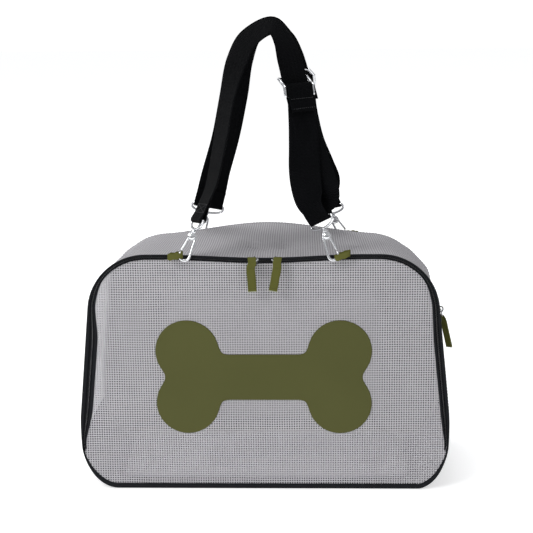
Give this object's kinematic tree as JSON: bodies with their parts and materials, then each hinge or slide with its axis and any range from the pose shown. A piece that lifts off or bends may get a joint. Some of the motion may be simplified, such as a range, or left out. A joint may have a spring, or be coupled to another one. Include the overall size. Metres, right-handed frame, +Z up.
{
  "type": "pet carrier bag",
  "caption": "Soft-sided mesh pet carrier bag with a zipped fold-down front door and two clip-on adjustable shoulder straps on snap hooks.",
  "frame": {"origin": "on the floor under the middle of the base", "axes": "+Z up, -Y out of the front door, +X to the right of the front"},
  "size_m": [0.4695, 0.2323, 0.5778],
  "materials": {
    "grey_mesh": "coarse woven mesh, see-through",
    "black_fabric": "plain weave binding and zip tape",
    "black_webbing": "ribbed polyester webbing, satin",
    "olive_webbing": "ribbed cotton webbing, matt",
    "olive_patch": "smooth coated cloth, matt",
    "bright_metal": "polished nickel plate",
    "black_metal": "black enamel",
    "lining": "soft brushed cloth",
    "board": "stiff sheet"
  },
  "bodies": {
    "bag": {"front_rim": "black_fabric", "front_zip_coil": "black_fabric", "rim_strip": "black_fabric", "top_gusset": "grey_mesh", "left_gusset": "grey_mesh", "right_gusset_lower": "grey_mesh", "right_gusset_upper": "grey_mesh", "side_zip_coil": "black_fabric", "back_binding": "grey_mesh", "back_panel": "grey_mesh", "back_pocket": "lining", "base_wrap": "black_fabric", "base_board": "board", "front_lower_panel": "grey_mesh"},
    "front_door": {"door_binding": "black_fabric", "front_door_panel": "grey_mesh", "bone_patch": "olive_patch"},
    "mat": {"inner_mat": "lining"},
    "zip_left_slider": {"zip_left_slider": "black_metal"},
    "zip_left_pull": {"zip_left_ring": "bright_metal", "zip_left_pull": "olive_webbing"},
    "zip_right_slider": {"zip_right_slider": "black_metal"},
    "zip_right_pull": {"zip_right_ring": "bright_metal", "zip_right_pull": "olive_webbing"},
    "side_zip_slider": {"side_zip_slider": "black_metal"},
    "side_zip_pull": {"side_zip_ring": "bright_metal", "side_zip_pull": "olive_webbing"},
    "strap_front": {"strap_front_webbing": "black_webbing", "loop_front_left": "olive_webbing", "hook_front_left_eye": "bright_metal", "loop_front_right": "olive_webbing", "hook_front_right_eye": "bright_metal"},
    "strap_front_adjuster": {"strap_front_adjuster": "bright_metal", "strap_front_hem": "black_webbing"},
    "hook_front_left": {"hook_front_left_body": "bright_metal", "hook_front_left_rivet": "bright_metal"},
    "hook_front_left_gate": {"hook_front_left_gate": "bright_metal"},
    "hook_front_right": {"hook_front_right_body": "bright_metal", "hook_front_right_rivet": "bright_metal"},
    "hook_front_right_gate": {"hook_front_right_gate": "bright_metal"},
    "strap_rear": {"strap_rear_webbing": "black_webbing", "loop_rear_left": "olive_webbing", "hook_rear_left_eye": "bright_metal", "loop_rear_right": "olive_webbing", "hook_rear_right_eye": "bright_metal"},
    "strap_rear_adjuster": {"strap_rear_adjuster": "bright_metal", "strap_rear_hem": "black_webbing"},
    "hook_rear_left": {"hook_rear_left_body": "bright_metal", "hook_rear_left_rivet": "bright_metal"},
    "hook_rear_left_gate": {"hook_rear_left_gate": "bright_metal"},
    "hook_rear_right": {"hook_rear_right_body": "bright_metal", "hook_rear_right_rivet": "bright_metal"},
    "hook_rear_right_gate": {"hook_rear_right_gate": "bright_metal"}
  },
  "joints": [
    {"name": "front_door_fold", "type": "hinge", "parent": "bag", "child": "front_door", "pos_m": [0, -0.1003, 0.05], "axis": [1, 0, 0], "range_deg": [0, 90]},
    {"name": "zip_left_run", "type": "slide", "parent": "front_door", "child": "zip_left_slider", "axis": [-0.9991, 0, 0.0431], "range_m": [0, 0.06]},
    {"name": "zip_left_pull_lift", "type": "hinge", "parent": "zip_left_slider", "child": "zip_left_pull", "pos_m": [-0.0095, -0.104, 0.2959], "axis": [-1, 0, 0], "range_deg": [0, 100]},
    {"name": "zip_right_run", "type": "slide", "parent": "front_door", "child": "zip_right_slider", "axis": [0.9991, 0, 0.0431], "range_m": [0, 0.05]},
    {"name": "zip_right_pull_lift", "type": "hinge", "parent": "zip_right_slider", "child": "zip_right_pull", "pos_m": [0.0165, -0.104, 0.2959], "axis": [-1, 0, 0], "range_deg": [0, 100]},
    {"name": "side_zip_run", "type": "slide", "parent": "bag", "child": "side_zip_slider", "axis": [0, 1, 0], "range_m": [-0.05, 0.1]},
    {"name": "side_zip_pull_lift", "type": "hinge", "parent": "side_zip_slider", "child": "side_zip_pull", "pos_m": [0.22215, -0.02, 0.211], "axis": [0, -1, 0], "range_deg": [0, 90]},
    {"name": "mat_lift", "type": "slide", "parent": "bag", "child": "mat", "axis": [0, 0, 1], "range_m": [0, 0.06]},
    {"name": "strap_front_swing", "type": "hinge", "parent": "bag", "child": "strap_front", "pos_m": [0, -0.107, 0.2965], "axis": [1, 0, 0], "range_deg": [0, 110]},
    {"name": "strap_front_adjust", "type": "slide", "parent": "strap_front", "child": "strap_front_adjuster", "axis": [-0.2407, 0.2974, 0.9239], "range_m": [0, 0.01]},
    {"name": "hook_front_left_swivel", "type": "hinge", "parent": "strap_front", "child": "hook_front_left", "pos_m": [-0.08274, -0.09641, 0.32788], "axis": [0.3584, 0.2861, 0.8887], "range_deg": [-7, 7]},
    {"name": "hook_front_left_gate_press", "type": "hinge", "parent": "hook_front_left", "child": "hook_front_left_gate", "pos_m": [-0.08489, -0.09813, 0.32255], "axis": [0, -0.9519, 0.3064], "range_deg": [0, 20], "stiffness_Nm_per_rad": 0.01},
    {"name": "hook_front_right_swivel", "type": "hinge", "parent": "strap_front", "child": "hook_front_right", "pos_m": [0.07545, -0.09628, 0.3283], "axis": [-0.3256, 0.2897, 0.9], "range_deg": [-7, 7]},
    {"name": "hook_front_right_gate_press", "type": "hinge", "parent": "hook_front_right", "child": "hook_front_right_gate", "pos_m": [0.07741, -0.09802, 0.3229], "axis": [0, 0.9519, -0.3064], "range_deg": [0, 20], "stiffness_Nm_per_rad": 0.01},
    {"name": "strap_rear_swing", "type": "hinge", "parent": "bag", "child": "strap_rear", "pos_m": [0, 0.1125, 0.277], "axis": [-1, 0, 0], "range_deg": [0, 110]},
    {"name": "strap_rear_adjust", "type": "slide", "parent": "strap_rear", "child": "strap_rear_adjuster", "axis": [-0.2334, -0.2958, 0.9263], "range_m": [0, 0.005]},
    {"name": "hook_rear_left_swivel", "type": "hinge", "parent": "strap_rear", "child": "hook_rear_left", "pos_m": [-0.08342, 0.10163, 0.30955], "axis": [0.2588, -0.2938, 0.9202], "range_deg": [-10, 10]},
    {"name": "hook_rear_left_gate_press", "type": "hinge", "parent": "hook_rear_left", "child": "hook_rear_left_gate", "pos_m": [-0.08498, 0.10339, 0.30402], "axis": [0, -0.9526, -0.3042], "range_deg": [0, 20], "stiffness_Nm_per_rad": 0.01},
    {"name": "hook_rear_right_swivel", "type": "hinge", "parent": "strap_rear", "child": "hook_rear_right", "pos_m": [0.08636, 0.1023, 0.30744], "axis": [-0.4226, -0.2757, 0.8634], "range_deg": [-10, 10]},
    {"name": "hook_rear_right_gate_press", "type": "hinge", "parent": "hook_rear_right", "child": "hook_rear_right_gate", "pos_m": [0.0889, 0.10395, 0.30226], "axis": [0, 0.9526, 0.3042], "range_deg": [0, 20], "stiffness_Nm_per_rad": 0.01}
  ]
}
